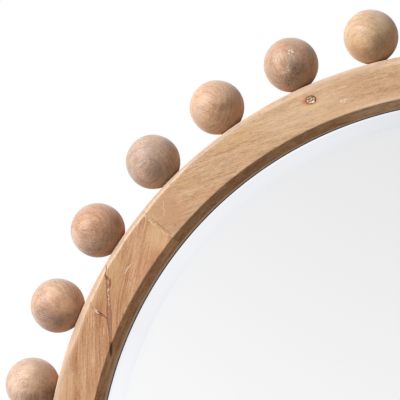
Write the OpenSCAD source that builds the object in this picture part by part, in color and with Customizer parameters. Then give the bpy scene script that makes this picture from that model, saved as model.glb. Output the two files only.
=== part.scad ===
// Round wall mirror: a built-up wooden ring with a row of turned balls pinned round its edge,
// a bevelled glass in a rebate, a cushion and a screwed backing board, two strap hangers
// with swinging rings, and four pads that hold the balls clear of the wall.
// Everything is drawn lying on its back, then stood up with its face towards -Y.

/* [Ring] */
// Outside diameter of the wooden ring
ring_d = 812.8; // [700:0.1:1000]
// Width of the flat front face
face_w = 38.1; // [36:0.1:60]
// Thickness from the front face to the back
ring_t = 36; // [34:0.5:50]
// Number of glued segments
segment_n = 8; // [4:1:10]
// Worn rounding of the front outer edge
front_edge = 3; // [1:0.25:5]
// Chamfer of the back outer edge
back_edge = 2; // [0.5:0.25:3]
// How far the sloped inner wall runs in from the face to the sight edge
wall_run = 8.8; // [6:0.1:12]
// Depth from the front face to the back of the lip
lip_depth = 18.5; // [14:0.5:20]
// Thickness of the lip at the sight edge
lip_edge = 1.5; // [1:0.25:3]
// Narrow flat along the sight edge
lip_flat = 0.9; // [0.5:0.1:2]

/* [Balls] */
// Number of balls round the ring
ball_n = 34; // [28:1:46]
// Diameter of a ball
ball_d = 50.8; // [40:0.1:55]
// How deep each ball is hollowed to sit on the ring
ball_seat = 1.6; // [0.8:0.1:3]
// Turn of the first ball from the right-hand side, in degrees
ball_turn = 8.7; // [0:0.1:10]

/* [Glass] */
// Thickness of the glass
glass_t = 5; // [4:0.5:6]
// How far the glass reaches behind the lip
glass_lap = 8.8; // [6:0.1:12]
// Width of the bevel
bevel_w = 25.4; // [15:0.1:40]
// How much thinner the bevel leaves the rim
bevel_drop = 2.2; // [1:0.1:3]

/* [Back] */
// Thickness of the backing board
board_t = 9; // [6:0.5:11]
// How far the board lies below the ring's back
board_inset = 1; // [0.5:0.25:2]
// Width of the ledge that the board is screwed to
ledge_w = 13.5; // [11:0.5:15]
// Screws through the board in each segment
segment_screw_n = 2; // [1:1:3]
// Height of the wall pads, which is the gap behind the ring
pad_h = 10; // [9:0.5:20]
// Diameter of a wall pad
pad_d = 18; // [12:0.5:20]

/* [Hangers] */
// Distance between the two hangers
hanger_gap = 406.4; // [250:0.1:480]
// Height of the ring pivots above the middle of the mirror
hanger_h = 180; // [100:1:240]
// Width of the strap
strap_w = 16; // [12:0.5:20]
// Length of the strap below its pivot
strap_l = 44; // [36:1:60]
// Thickness of the folded strap
strap_t = 2.4; // [1.8:0.1:3]
// Diameter of the ring's wire
wire_d = 4; // [3:0.1:5]
// Inside width of the ring
loop_w = 24; // [23:0.5:34]
// Inside height of the ring from its bar to the top of its bow
loop_h = 20; // [18:0.5:30]

/* [Pins and screws] */
// Diameter of the dowel that carries a ball
ball_dowel_d = 10; // [6:0.5:12]
// Length of the dowel that carries a ball
ball_dowel_l = 40; // [24:1:44]
// Diameter of the dowels between segments
joint_dowel_d = 8; // [6:0.5:9]
// Length of the dowels between segments
joint_dowel_l = 40; // [24:1:44]
// Diameter of the screws
screw_d = 3.5; // [2.5:0.1:4]
// Length of the board screws
board_screw_l = 20; // [14:0.5:26]
// Length of the hanger screws
hanger_screw_l = 10; // [6:0.5:11]

/* [Hidden] */
// Working clearances
glue_gap = 0.1;
sheet_gap = 0.1;
dowel_fit = 0.05;
screw_fit = 0.05;
pivot_fit = 0.08;
glass_clear = 1.2;
board_clear = 0.5;
blind_clear = 0.5;
rest_gap = 0.35;
overrun = 1;

// Radii of the ring, from the outside in
ring_r = ring_d / 2;
front_r = ring_r - face_w;
sight_r = front_r - wall_run;
glass_r = sight_r + glass_lap;
rebate_r = glass_r + glass_clear;
recess_r = rebate_r + ledge_w;
board_r = recess_r - board_clear;
rim_mid_r = (recess_r + ring_r) / 2;
ledge_mid_r = (rebate_r + recess_r) / 2;

// Heights above the wall
back_h = pad_h;
front_h = back_h + ring_t;
mid_h = back_h + ring_t / 2;
lip_h = front_h - lip_depth;
board_back_h = back_h + board_inset;
board_front_h = board_back_h + board_t;
bevel_r = glass_r - bevel_w;
sight_drop = bevel_drop * max(sight_r - bevel_r, 0) / bevel_w;
glass_front_h = lip_h - sheet_gap + sight_drop;
glass_back_h = glass_front_h - glass_t;

// Balls
ball_r = ball_d / 2;
ball_step = 360 / ball_n;
ball_centre_r = ring_r + ball_r - ball_seat;

// The balls were set out by hand: each strays by its share of a step, in a run that repeats round the ring
ball_stray_shares = [-0.008, -0.009, -0.024, 0.010, 0.014, -0.009, 0.004];
function ball_stray(i) = ball_stray_shares[(i + 4) % len(ball_stray_shares)];
function ball_angle(i) = ball_turn + (i + ball_stray(i)) * ball_step;

// Segments meet half way between two balls
function joint_step(k) = floor(k * ball_n / segment_n) + 0.5;
function joint_angle(k) = ball_turn + joint_step(k) * ball_step;
function segment_span(k) = (joint_step(k + 1) - joint_step(k)) * ball_step;
joint_trim = asin(glue_gap / 2 / sight_r);
joint_dowel_depth_shares = [0.28, 0.7];
dowel_chamfer_share = 0.12;

// Screws
screw_r = screw_d / 2;
head_r = screw_d;
head_h = head_r - screw_r;
drive_l = head_r;
drive_w = screw_d * 0.28;
drive_h = head_h * 0.8;
tip_h = screw_d;

// Hangers: the strap is folded round the straight bar of the ring
wire_r = wire_d / 2;
barrel_r = wire_r + pivot_fit + strap_t / 2;
barrel_lift = sheet_gap;
pivot_h = board_back_h - barrel_lift - barrel_r;
bow_r = (loop_w + wire_d) / 2;
leg_l = loop_h + wire_d - bow_r;
elbow_r = wire_d * 1.2;
bow_reach = leg_l + bow_r;
hang_tilt = asin((strap_t + rest_gap + wire_r - (barrel_r + barrel_lift)) / bow_reach);
strap_hole_shares = [0.45, 0.8];

// Wall pads
pad_r = pad_d / 2;
pad_face_r = pad_r * 0.9;
pad_angles = [45, 135, 225, 315];

// Smoothness
ring_fn = 180;
ball_fn = 48;
pin_fn = 32;
wire_fn = 32;
edge_steps = 6;

function two_digits(i) = i < 10 ? str("0", i) : str(i);
function ball_name(i) = str("ball_", two_digits(i + 1));
function segment_name(k) = str("ring_segment_", k + 1);

// Stands the mirror up: its face looks along -Y and its own upper edge points along +Z
module stood_up() {
    rotate([90, 0, 0]) children();
}

// Places something at an angle round the ring, its X axis pointing outwards
module round_the_ring(angle, radius, height) {
    rotate([0, 0, angle]) translate([radius, 0, height]) children();
}

// A dowel along Z with chamfered ends, its middle at the origin
module dowel(d, l) {
    chamfer = d * dowel_chamfer_share;
    rotate_extrude($fn = pin_fn)
        polygon([
            [0, -l / 2],
            [d / 2 - chamfer, -l / 2],
            [d / 2, -l / 2 + chamfer],
            [d / 2, l / 2 - chamfer],
            [d / 2 - chamfer, l / 2],
            [0, l / 2]
        ]);
}

// The hole for such a dowel
module dowel_hole(d, l) {
    cylinder(h = l + 2 * blind_clear, r = d / 2 + dowel_fit, center = true, $fn = pin_fn);
}

// A countersunk screw along +Z, the top of its head at the origin
module screw(l) {
    difference() {
        rotate_extrude($fn = pin_fn)
            polygon([
                [0, 0],
                [head_r, 0],
                [screw_r, head_h],
                [screw_r, l - tip_h],
                [0, l]
            ]);
        translate([-drive_l / 2, -drive_w / 2, -overrun]) cube([drive_l, drive_w, drive_h + overrun]);
        translate([-drive_w / 2, -drive_l / 2, -overrun]) cube([drive_w, drive_l, drive_h + overrun]);
    }
}

// The countersunk hole for such a screw
module screw_hole(l) {
    cylinder(h = head_h, r1 = head_r + screw_fit, r2 = screw_r + screw_fit, $fn = pin_fn);
    translate([0, 0, -overrun]) cylinder(h = l + overrun + blind_clear, r = screw_r + screw_fit, $fn = pin_fn);
    translate([0, 0, -overrun]) cylinder(h = overrun, r = head_r + screw_fit, $fn = pin_fn);
}

// Section of the ring: X is the radius and Y the height above the wall
module ring_section() {
    rounding = [
        for (s = [0 : edge_steps])
            [
                ring_r - front_edge + front_edge * sin(90 * s / edge_steps),
                front_h - front_edge + front_edge * cos(90 * s / edge_steps)
            ]
    ];
    polygon(concat(
        [[front_r, front_h]],
        rounding,
        [
            [ring_r, back_h + back_edge],
            [ring_r - back_edge, back_h],
            [recess_r, back_h],
            [recess_r, board_front_h],
            [rebate_r, board_front_h],
            [rebate_r, lip_h],
            [sight_r, lip_h],
            [sight_r, lip_h + lip_edge],
            [sight_r + lip_flat, lip_h + lip_edge]
        ]
    ));
}

// Dowels that carry the balls lie along the radius, half way through the ring
module at_ball_dowel(i) {
    round_the_ring(ball_angle(i), ring_r, mid_h) rotate([0, 90, 0]) children();
}

// Two dowels cross each joint, one behind the other
module at_joint_dowels(k) {
    for (share = joint_dowel_depth_shares)
        round_the_ring(joint_angle(k), rim_mid_r, front_h - ring_t * share) rotate([90, 0, 0]) children();
}

// Board screws share out the span of a segment, which ends half a share before each joint
module at_board_screws(k) {
    for (s = [0 : segment_screw_n - 1])
        round_the_ring(
            joint_angle(k) + segment_span(k) * (s + 0.5) / segment_screw_n,
            ledge_mid_r,
            board_back_h
        ) children();
}

module ring_segment(k) {
    color([0.80, 0.64, 0.49])
        stood_up()
            difference() {
                rotate([0, 0, joint_angle(k) + joint_trim])
                    rotate_extrude(angle = segment_span(k) - 2 * joint_trim, $fn = ring_fn)
                        ring_section();
                for (i = [joint_step(k) + 0.5 : joint_step(k + 1) - 0.5])
                    at_ball_dowel(i) dowel_hole(ball_dowel_d, ball_dowel_l);
                for (end = [k, k + 1])
                    at_joint_dowels(end) dowel_hole(joint_dowel_d, joint_dowel_l);
                at_board_screws(k) screw_hole(board_screw_l);
            }
}

// A ball hollowed on one side to the curve of the ring, with a blind hole for its dowel
module ball(i) {
    color([0.74, 0.58, 0.46])
        stood_up()
            difference() {
                round_the_ring(ball_angle(i), ball_centre_r, mid_h)
                    rotate([0, 90, 0]) sphere(r = ball_r, $fn = ball_fn);
                translate([0, 0, back_h - ball_r])
                    cylinder(h = ring_t + 2 * ball_r, r = ring_r + glue_gap, $fn = ring_fn * 2);
                at_ball_dowel(i) dowel_hole(ball_dowel_d, ball_dowel_l);
            }
}

module segment_dowels() {
    color([0.85, 0.74, 0.56])
        stood_up()
            for (k = [0 : segment_n - 1])
                at_joint_dowels(k) dowel(joint_dowel_d, joint_dowel_l);
}

module ball_dowels() {
    color([0.85, 0.74, 0.56])
        stood_up()
            for (i = [0 : ball_n - 1])
                at_ball_dowel(i) dowel(ball_dowel_d, ball_dowel_l);
}

// The bevel just meets the sight edge of the lip, and falls away behind it
module mirror_glass() {
    color([0.90, 0.92, 0.93])
        stood_up()
            rotate_extrude($fn = ring_fn)
                polygon([
                    [0, glass_back_h],
                    [glass_r, glass_back_h],
                    [glass_r, glass_front_h - bevel_drop],
                    [bevel_r, glass_front_h],
                    [0, glass_front_h]
                ]);
}

module glass_cushion() {
    color([0.82, 0.80, 0.76])
        stood_up()
            translate([0, 0, board_front_h + sheet_gap])
                cylinder(h = glass_back_h - board_front_h - 2 * sheet_gap, r = glass_r, $fn = ring_fn);
}

module backing_board() {
    color([0.66, 0.52, 0.38])
        stood_up()
            difference() {
                translate([0, 0, board_back_h]) cylinder(h = board_t, r = board_r, $fn = ring_fn);
                for (k = [0 : segment_n - 1])
                    at_board_screws(k) screw_hole(board_screw_l);
                for (side = [-1, 1])
                    at_hanger_screws(side) screw_hole(hanger_screw_l);
            }
}

module board_screws() {
    color([0.78, 0.70, 0.45])
        stood_up()
            for (k = [0 : segment_n - 1])
                at_board_screws(k) screw(board_screw_l);
}

// Places something at a hanger's pivot: side is -1 on the left and 1 on the right from the front
module at_pivot(side) {
    translate([side * hanger_gap / 2, hanger_h, pivot_h]) children();
}

// Two screws stand on the middle line of each strap, their heads flush with it
module at_hanger_screws(side) {
    for (share = strap_hole_shares)
        translate([side * hanger_gap / 2, hanger_h - strap_l * share, board_back_h - strap_t]) children();
}

// A strap folded flat on itself round the ring's bar, with a round end below
module strap(side) {
    color([0.72, 0.71, 0.69])
        stood_up()
            difference() {
                union() {
                    translate([side * hanger_gap / 2, hanger_h, board_back_h - strap_t])
                        linear_extrude(height = strap_t) {
                            translate([-strap_w / 2, strap_w / 2 - strap_l])
                                square([strap_w, strap_l - strap_w / 2]);
                            translate([0, strap_w / 2 - strap_l]) circle(d = strap_w, $fn = pin_fn * 2);
                        }
                    at_pivot(side)
                        rotate([0, 90, 0]) cylinder(h = strap_w, r = barrel_r, center = true, $fn = pin_fn);
                }
                at_pivot(side)
                    rotate([0, 90, 0])
                        cylinder(
                            h = strap_w + 2 * overrun,
                            r = wire_r + pivot_fit,
                            center = true,
                            $fn = pin_fn
                        );
                at_hanger_screws(side) screw_hole(hanger_screw_l);
            }
}

// A wire ring: a straight bar, two elbows, two legs and a half-round bow, hanging from its bar
module hanging_ring(side) {
    straight_w = 2 * (bow_r - elbow_r);
    color([0.76, 0.75, 0.73])
        stood_up()
            at_pivot(side)
                rotate([180 + hang_tilt, 0, 0]) {
                    rotate([0, 90, 0]) cylinder(h = straight_w, r = wire_r, center = true, $fn = wire_fn);
                    for (hand = [0, 180])
                        rotate([0, hand, 0]) {
                            translate([bow_r - elbow_r, elbow_r, 0])
                                rotate([0, 0, -90])
                                    rotate_extrude(angle = 90, $fn = wire_fn * 2)
                                        translate([elbow_r, 0]) circle(r = wire_r, $fn = wire_fn);
                            translate([bow_r, elbow_r, 0])
                                rotate([-90, 0, 0]) cylinder(h = leg_l - elbow_r, r = wire_r, $fn = wire_fn);
                        }
                    translate([0, leg_l, 0])
                        rotate_extrude(angle = 180, $fn = wire_fn * 3)
                            translate([bow_r, 0]) circle(r = wire_r, $fn = wire_fn);
                }
}

module hanger_screws() {
    color([0.78, 0.70, 0.45])
        stood_up()
            for (side = [-1, 1])
                at_hanger_screws(side) screw(hanger_screw_l);
}

module wall_pads() {
    color([0.20, 0.19, 0.18])
        stood_up()
            for (angle = pad_angles)
                round_the_ring(angle, rim_mid_r, 0) cylinder(h = pad_h, r1 = pad_face_r, r2 = pad_r, $fn = pin_fn * 2);
}

for (k = [0 : segment_n - 1])
    ring_segment(k);
for (i = [0 : ball_n - 1])
    ball(i);
segment_dowels();
ball_dowels();
mirror_glass();
glass_cushion();
backing_board();
board_screws();
strap(-1);  // left_strap
strap(1);  // right_strap
hanging_ring(-1);  // left_hanging_ring
hanging_ring(1);  // right_hanging_ring
hanger_screws();
wall_pads();
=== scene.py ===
import math
import bmesh
import bpy
import numpy as np
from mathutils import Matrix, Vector


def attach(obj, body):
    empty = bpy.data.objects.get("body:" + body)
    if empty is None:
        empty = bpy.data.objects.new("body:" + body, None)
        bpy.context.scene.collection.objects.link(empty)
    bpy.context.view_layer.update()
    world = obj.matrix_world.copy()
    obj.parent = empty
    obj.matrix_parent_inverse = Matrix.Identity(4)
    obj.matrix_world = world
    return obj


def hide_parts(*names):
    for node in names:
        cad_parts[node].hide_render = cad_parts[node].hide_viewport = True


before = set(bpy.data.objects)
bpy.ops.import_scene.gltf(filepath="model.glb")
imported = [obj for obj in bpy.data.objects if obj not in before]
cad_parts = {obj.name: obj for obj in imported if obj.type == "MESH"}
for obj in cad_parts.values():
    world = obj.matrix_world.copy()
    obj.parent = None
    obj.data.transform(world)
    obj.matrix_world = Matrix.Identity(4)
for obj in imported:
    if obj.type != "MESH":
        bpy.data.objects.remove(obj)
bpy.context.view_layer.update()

# A round wall mirror: a worn wooden ring, turned balls pinned round its edge, and a bevelled glass.
# The mirror's sizes are in millimetres, and its meshes are turned into metres as they are made. The
# studio's sizes are in metres. The ring's face looks along -Y, and heights are measured from the wall.
metres = 0.001


# Node helpers

def plug(tree, socket, value):
    if isinstance(value, bpy.types.NodeSocket):
        tree.links.new(value, socket)
    else:
        socket.default_value = value


def addNode(tree, kind, places=None, out=0, **settings):
    node = tree.nodes.new("ShaderNode" + kind)
    for setting, value in settings.items():
        setattr(node, setting, value)
    for place, value in (places or {}).items():
        plug(tree, node.inputs[place], value)
    return node.outputs[out]


def paint(red, green, blue):  # a colour as the eye reads it, 0 to 255
    def straight(c):
        c = c / 255
        return c / 12.92 if c <= 0.04045 else ((c + 0.055) / 1.055) ** 2.4
    return (straight(red), straight(green), straight(blue), 1.0)


def sums(tree, operation, first, second=0.0, third=0.0, clamp=False):
    return addNode(tree, "Math", {0: first, 1: second, 2: third}, operation=operation, use_clamp=clamp)


def plus(tree, first, second, clamp=False):
    return sums(tree, "ADD", first, second, clamp=clamp)


def minus(tree, first, second):
    return sums(tree, "SUBTRACT", first, second)


def times(tree, first, second):
    return sums(tree, "MULTIPLY", first, second)


def timesPlus(tree, first, second, third, clamp=False):
    return sums(tree, "MULTIPLY_ADD", first, second, third, clamp)


def nudge(tree, value, noise, amount, clamp=False):  # moves a value up and down with a noise
    return timesPlus(tree, minus(tree, noise, 0.5), amount, value, clamp)


def vectorSum(tree, operation, first, second, out=0):
    return addNode(tree, "VectorMath", {0: first, 1: second}, out=out, operation=operation)


def lengthOf(tree, vector):
    return addNode(tree, "VectorMath", {0: vector}, out="Value", operation="LENGTH")


def scaledBy(tree, vector, factor):
    return addNode(tree, "VectorMath", {0: vector, "Scale": factor}, operation="SCALE")


def joinAxes(tree, x, y, z):
    return addNode(tree, "CombineXYZ", {0: x, 1: y, 2: z})


def splitAxes(tree, vector):
    node = tree.nodes.new("ShaderNodeSeparateXYZ")
    tree.links.new(vector, node.inputs[0])
    return node.outputs[0], node.outputs[1], node.outputs[2]


# Reads a value that runs from low to high as one that runs from first to last
def stretch(tree, value, low, high, first=0.0, last=1.0, smooth=True):
    places = {"Value": value, "From Min": low, "From Max": high, "To Min": first, "To Max": last}
    return addNode(tree, "MapRange", places, interpolation_type="SMOOTHSTEP" if smooth else "LINEAR")


def fadeOut(tree, value, full, none, most=1.0):  # the most at full, and 0 past none
    return stretch(tree, value, full, none, most, 0.0)


def within(tree, value, full, none):  # 1 while a value is nearer to zero than full, and 0 past none
    return fadeOut(tree, sums(tree, "ABSOLUTE", value), full, none)


# Noise of one size, or of three: along, into and across the grain
def grainNoise(tree, place, size, shift=0.0, detail=2.0, rough=0.5):
    sizes = size if isinstance(size, tuple) else (size,) * 3
    scaled = vectorSum(tree, "DIVIDE", place, sizes)
    moved = vectorSum(tree, "ADD", scaled, (shift, shift * 0.7, shift * 1.3))
    return addNode(tree, "TexNoise", {"Vector": moved, "Scale": 1.0, "Detail": detail, "Roughness": rough})


# The noises of a table, each with its size, its own shift, its detail and its roughness
def noisesOf(tree, place, kinds, shift=0.0):
    return {kind: grainNoise(tree, place, size, shift + own, detail, rough)
            for kind, (size, own, detail, rough) in kinds.items()}


def mixColours(tree, share, under, over, kind="MIX"):
    return addNode(tree, "Mix", {0: share, 6: under, 7: over}, out=2, data_type="RGBA", blend_type=kind)


def layOn(tree, colour, share, tone):  # lays a share of a tone over a colour
    return mixColours(tree, share, colour, paint(*tone))


def layLook(tree, colour, shown, look, kind):  # lays one tone of a look where it shows, by its share
    return layOn(tree, colour, times(tree, shown, look[kind + "Share"]), look[kind])


def rampOf(tree, value, stops):
    node = tree.nodes.new("ShaderNodeValToRGB")
    tree.links.new(value, node.inputs[0])
    band = node.color_ramp
    while len(band.elements) < len(stops):
        band.elements.new(0.5)
    for element, (place, colour) in zip(band.elements, stops):
        element.position = place
        element.color = colour
    return node.outputs[0]


def toneRamp(tree, value, stops):
    return rampOf(tree, value, [(place, paint(*tone)) for place, tone in stops])


def curveOf(tree, value, points, low, high):  # a smooth line through points of heights from low to high
    node = tree.nodes.new("ShaderNodeFloatCurve")
    first, last = points[0][0], points[-1][0]
    plug(tree, node.inputs["Value"], stretch(tree, value, first, last, smooth=False))
    line = node.mapping.curves[0]
    while len(line.points) < len(points):
        line.points.new(0.5, 0.5)
    for point, (place, height) in zip(line.points, points):
        point.location = ((place - first) / (last - first), (height - low) / (high - low))
    node.mapping.update()
    return stretch(tree, node.outputs[0], 0.0, 1.0, low, high, smooth=False)


def blankFinish(name, **values):
    material = bpy.data.materials.new(name)
    material.use_nodes = True
    tree = material.node_tree
    shader = tree.nodes["Principled BSDF"]
    for place, value in values.items():
        shader.inputs[place.replace("_", " ")].default_value = value
    return material, tree, shader


def benchPlace(tree):  # where a point lies on the mirror, in millimetres
    place = addNode(tree, "TexCoord", out="Object")
    return scaledBy(tree, place, 1 / metres)


# Gives a surface its colour, its gloss and its relief, where a height of 1 is depth millimetres
def finishSurface(tree, shader, colour, rough, height, depth, strength=1.0):
    places = {"Height": height, "Distance": depth * metres, "Strength": strength}
    values = {"Base Color": colour, "Roughness": rough, "Normal": addNode(tree, "Bump", places)}
    for place, value in values.items():
        plug(tree, shader.inputs[place], value)


# Mesh helpers

def ripple(points, size, seed):  # smooth random swell from -1 to 1, its waves about one size long
    dice = np.random.default_rng(seed)
    heading = dice.normal(size=(9, points.shape[-1]))
    heading /= np.linalg.norm(heading, axis=1)[:, None]
    waves = heading * (2 * math.pi / size) * dice.uniform(0.6, 1.5, 9)[:, None]
    swell = np.sin(points @ waves.T + dice.uniform(0, 2 * math.pi, 9)).sum(-1)
    return np.clip(swell / 4.5, -1, 1)


def softStep(value, low, high):
    share = np.clip((value - low) / (high - low), 0, 1)
    return share * share * (3 - 2 * share)


def gridFaces(rows, columns):  # quads between rows of points, each row a closed loop
    row, column = np.meshgrid(np.arange(rows - 1), np.arange(columns), indexing="ij")
    after = (column + 1) % columns
    corners = [row * columns + column, row * columns + after]
    corners += [(row + 1) * columns + after, (row + 1) * columns + column]
    return np.stack(corners, -1).reshape(-1, 4).tolist()


def poleFaces(rows, columns):  # the same with a pole before and after, and a fan of faces at each
    faces = [[1 + corner for corner in face] for face in gridFaces(rows, columns)]
    last = 1 + (rows - 1) * columns
    for k in range(columns):
        after = (k + 1) % columns
        faces += [[0, 1 + k, 1 + after], [last + k, last + after, last + columns]]
    return faces


def newObject(name, data):
    thing = bpy.data.objects.new(name, data)
    bpy.context.scene.collection.objects.link(thing)
    return thing


def addPiece(name, points, faces, materials, nodes, body="mirror", crisp=40, faceKinds=None):
    mesh = bpy.data.meshes.new(name)
    mesh.from_pydata((np.asarray(points) * metres).tolist(), [], faces)
    for material in materials:
        mesh.materials.append(material)
    if faceKinds is not None:
        mesh.polygons.foreach_set("material_index", np.asarray(faceKinds, np.int32))
    work = bmesh.new()
    work.from_mesh(mesh)
    bmesh.ops.recalc_face_normals(work, faces=work.faces)
    work.to_mesh(mesh)
    work.free()
    mesh.shade_smooth()
    mesh.set_sharp_from_angle(angle=math.radians(crisp))
    piece = newObject(name, mesh)
    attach(piece, body)
    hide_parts(*nodes)
    return piece


# Marks on the wood

def lineMark(tree, across, up, mark):  # how strongly a scratch between two points shows
    (x0, z0), (x1, z1) = mark["from"], mark["to"]
    long = math.hypot(x1 - x0, z1 - z0)
    c, s = (x1 - x0) / long, (z1 - z0) / long
    dx, dz = minus(tree, across, (x0 + x1) / 2), minus(tree, up, (z0 + z1) / 2)
    travel = timesPlus(tree, dz, s, times(tree, dx, c))
    off = timesPlus(tree, dz, c, times(tree, dx, -s))
    flat = joinAxes(tree, across, 0.0, up)
    wander = grainNoise(tree, flat, mark.get("wave", 4.0), shift=long, detail=3.0)
    off = nudge(tree, off, wander, mark.get("wander", 0.8))
    inLine = within(tree, off, mark["half"] * 0.35, mark["half"] * 1.3)
    inEnds = within(tree, travel, long * 0.38, long * 0.52)
    shown = times(tree, inLine, inEnds)
    broken = mark.get("broken", 0.0)
    if broken:
        gaps = grainNoise(tree, flat, mark.get("dash", 2.5), shift=long + 7.0, detail=1.0)
        shown = times(tree, shown, stretch(tree, gaps, broken - 0.08, broken + 0.08))
    return times(tree, shown, mark["strength"])


def spotMark(tree, across, up, mark):  # how far a point is from a spot, 1 at its rim
    (x0, z0), (wide, tall) = mark["at"], mark["size"]
    turn = math.radians(mark["turn"])
    dx, dz = minus(tree, across, x0), minus(tree, up, z0)
    c, s = math.cos(turn), math.sin(turn)
    travel = timesPlus(tree, dz, s / wide, times(tree, dx, c / wide))
    off = timesPlus(tree, dz, c / tall, times(tree, dx, -s / tall))
    return lengthOf(tree, joinAxes(tree, travel, off, 0.0))


# Wood

woodBase = {
    "light": (218, 182, 146), "middle": (202, 164, 127), "dark": (174, 128, 92),
    "ringGap": 5.5, "pith": (20.0, 95.0), "lean": 0.05, "sway": 6.0,
    "bands": 0.30, "streaks": 0.34, "fibres": 0.30, "threads": 0.34,
    "rosy": (200, 147, 112), "rosyShare": 0.45, "straw": (214, 176, 128), "strawShare": 0.45,
    "dry": (232, 208, 184), "dryShare": 0.40, "pore": (128, 86, 60), "poreShare": 0.40,
    "rough": (0.66, 0.88), "relief": 0.16, "wobble": 1.6, "speckle": 0.15,
}
# The noises of the wood. A look may have sizes of its own for them
woodNoises = {
    "sway": ((95.0, 38.0, 38.0), 0, 2.5, 0.5), "wobble": ((24.0, 7.0, 7.0), 3, 2.0, 0.5),
    "streaks": ((70.0, 4.2, 4.2), 11, 3.0, 0.6), "fibres": ((13.0, 1.1, 1.1), 17, 2.5, 0.65),
    "threads": ((6.5, 0.8, 0.8), 19, 1.5, 0.7), "speckle": ((1.6, 1.0, 1.0), 47, 2.0, 0.7),
    "cloud": ((80.0, 40.0, 34.0), 23, 2.0, 0.5), "dry": ((8.0, 1.2, 1.2), 31, 3.0, 0.7),
    "patch": ((26.0, 14.0, 12.0), 37, 1.0, 0.5), "pore": ((4.5, 0.42, 0.42), 41, 1.0, 0.5),
}
# Which noise a tone follows, and the levels at which it begins to show and shows in full
woodSpans = {
    "rosy": ("cloud", 0.50, 0.70), "straw": ("cloud", 0.48, 0.30), "dry": ("dry", 0.54, 0.72),
    "patch": ("patch", 0.42, 0.66), "pore": ("pore", 0.60, 0.76),
}
# How pale the wood is through one year's ring, from one spring to the next
yearLevels = ((0.0, 0.30), (0.12, 0.78), (0.55, 0.62), (0.86, 0.12), (1.0, 0.30))
toneSpan = 2.4  # how far the noises move the tone


def bentGrain(tree, place, look):  # leans the grain over above a height
    across, into, up = splitAxes(tree, place)
    above = sums(tree, "SMOOTH_MAX", minus(tree, up, look["bendFrom"]), 0.0, 22.0)
    return joinAxes(tree, timesPlus(tree, above, -look["bend"], across), into, up)


def grainAxes(tree, place, look):
    if "bend" in look:
        place = bentGrain(tree, place, look)
    moved = vectorSum(tree, "SUBTRACT", place, look.get("centre", (0.0, 0.0, 0.0)))
    turn = tuple(math.radians(a) for a in look["turn"])
    along, into, over = splitAxes(tree, addNode(tree, "Mapping", {"Vector": moved, "Rotation": turn}))
    drift = look.get("drift", (0.0, 0.0, 0.0))
    return [plus(tree, axis, d) for axis, d in zip((along, into, over), drift)]


def woodColour(tree, place, look):
    along, into, over = grainAxes(tree, place, look)
    grain = joinAxes(tree, along, into, over)
    kinds = {kind: (look.get(kind + "Size", size), *rest) for kind, (size, *rest) in woodNoises.items()}
    noise = noisesOf(tree, grain, kinds, look["shift"])
    leant = plus(tree, over, times(tree, along, look["lean"]))
    pithOver, pithInto = look["pith"]
    aside, below = minus(tree, leant, pithOver), minus(tree, into, pithInto)
    radius = lengthOf(tree, joinAxes(tree, aside, below, 0.0))
    for kind in ("sway", "wobble"):
        radius = nudge(tree, radius, noise[kind], look[kind])
    year = sums(tree, "FRACT", sums(tree, "DIVIDE", radius, look["ringGap"]))
    growth = rampOf(tree, year, [(at, (level, level, level, 1)) for at, level in yearLevels])
    tone = nudge(tree, 0.5, growth, look["bands"])
    for kind in ("streaks", "fibres", "threads", "speckle"):
        tone = nudge(tree, tone, noise[kind], look[kind] * toneSpan, clamp=kind == "speckle")
    colour = toneRamp(tree, tone, [(0.08, look["dark"]), (0.5, look["middle"]), (0.92, look["light"])])
    shown = {kind: stretch(tree, noise[source], *levels) for kind, (source, *levels) in woodSpans.items()}
    shown["dry"] = times(tree, shown["dry"], shown["patch"])
    for kind in ("rosy", "straw", "dry", "pore"):
        colour = layLook(tree, colour, shown[kind], look, kind)
    height = timesPlus(tree, shown["pore"], -0.8, noise["fibres"])
    height = timesPlus(tree, growth, 0.35, height)
    return colour, height, noise["fibres"], grain


def finishWood(tree, shader, look, colour, height, fibres):
    rough = stretch(tree, fibres, 0.25, 0.75, *look["rough"], smooth=False)
    finishSurface(tree, shader, colour, rough, height, look["relief"])


# The ring

ring = {
    "radius": 406.4, "faceWidth": 38.1, "front": 46.0, "back": 10.0, "backEdge": 2.0,
    "wallRun": 8.8, "lipDepth": 18.5, "lipEdge": 1.5, "lipFlat": 1.5,
    "rebate": 369.5, "recess": 383.0, "boardFront": 20.0, "glueGap": 0.1,
    "edgeWide": 4.5, "edgeWaves": ((0.8, 6, 198), (0.25, 23, 57), (0.14, 61, 115)),
    "edgeFall": 0.42, "edgeFallStray": 0.08, "softEdge": 0.45,
    "softSteps": 4, "edgeSteps": 10, "outsideSteps": 16, "backSteps": 7,
    "recessHeights": (14.0, 18.0), "lipBreak": 0.25, "endRows": (0.15, 0.35, 0.65, 1.1),
    "swell": 0.10, "fineSwell": 0.03, "jointDepth": 0.10, "jointWidth": 0.25, "chatter": 0.07,
    "dent": 0.30, "dents": 9, "rimDents": 5,
    # the burr is a painted highlight along the ridge of the worn edge, partly pale wear
    "arris": (202, 172, 146), "arrisShare": 0.75, "ridgeHighlight": (216, 202, 188), "ridgeHighlightShare": 0.75,
    "rubbed": (232, 198, 164), "rubbedShare": 0.36, "crispWaves": (5.0, -695),
    "tornTone": (140, 94, 64), "wallStain": (112, 72, 42), "stainSpan": (0.42, 0.64, 0.0, 0.40),
    "planedTone": (214, 176, 140), "planedSpan": (0.60, 0.72, 0.0, 0.55),
    # the lip tone is a painted highlight along the lip at the sight edge
    # the wall tone and the wall top are painted shade on the sloped inner wall, the shade darker towards
    # the face edge
    "wallShadeTone": (0.86, 0.77, 0.68), "wallTopShade": 0.92, "lipHighlightTone": (221, 191, 166), "lipTaper": -0.0043,
    "segments": 8, "knotSegment": 3, "splitSegment": 4,
}
edgeNoises = {
    "torn": ((7.0, 1.4, 3.0), 5, 3.0, 0.7), "dashes": ((5.0, 0.8, 1.4), 8, 2.0, 0.6),
    "patches": ((14.0, 6.0, 6.0), 11, 3.0, 0.6), "planed": ((7.0, 1.6, 2.4), 15, 2.0, 0.6),
}
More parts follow.
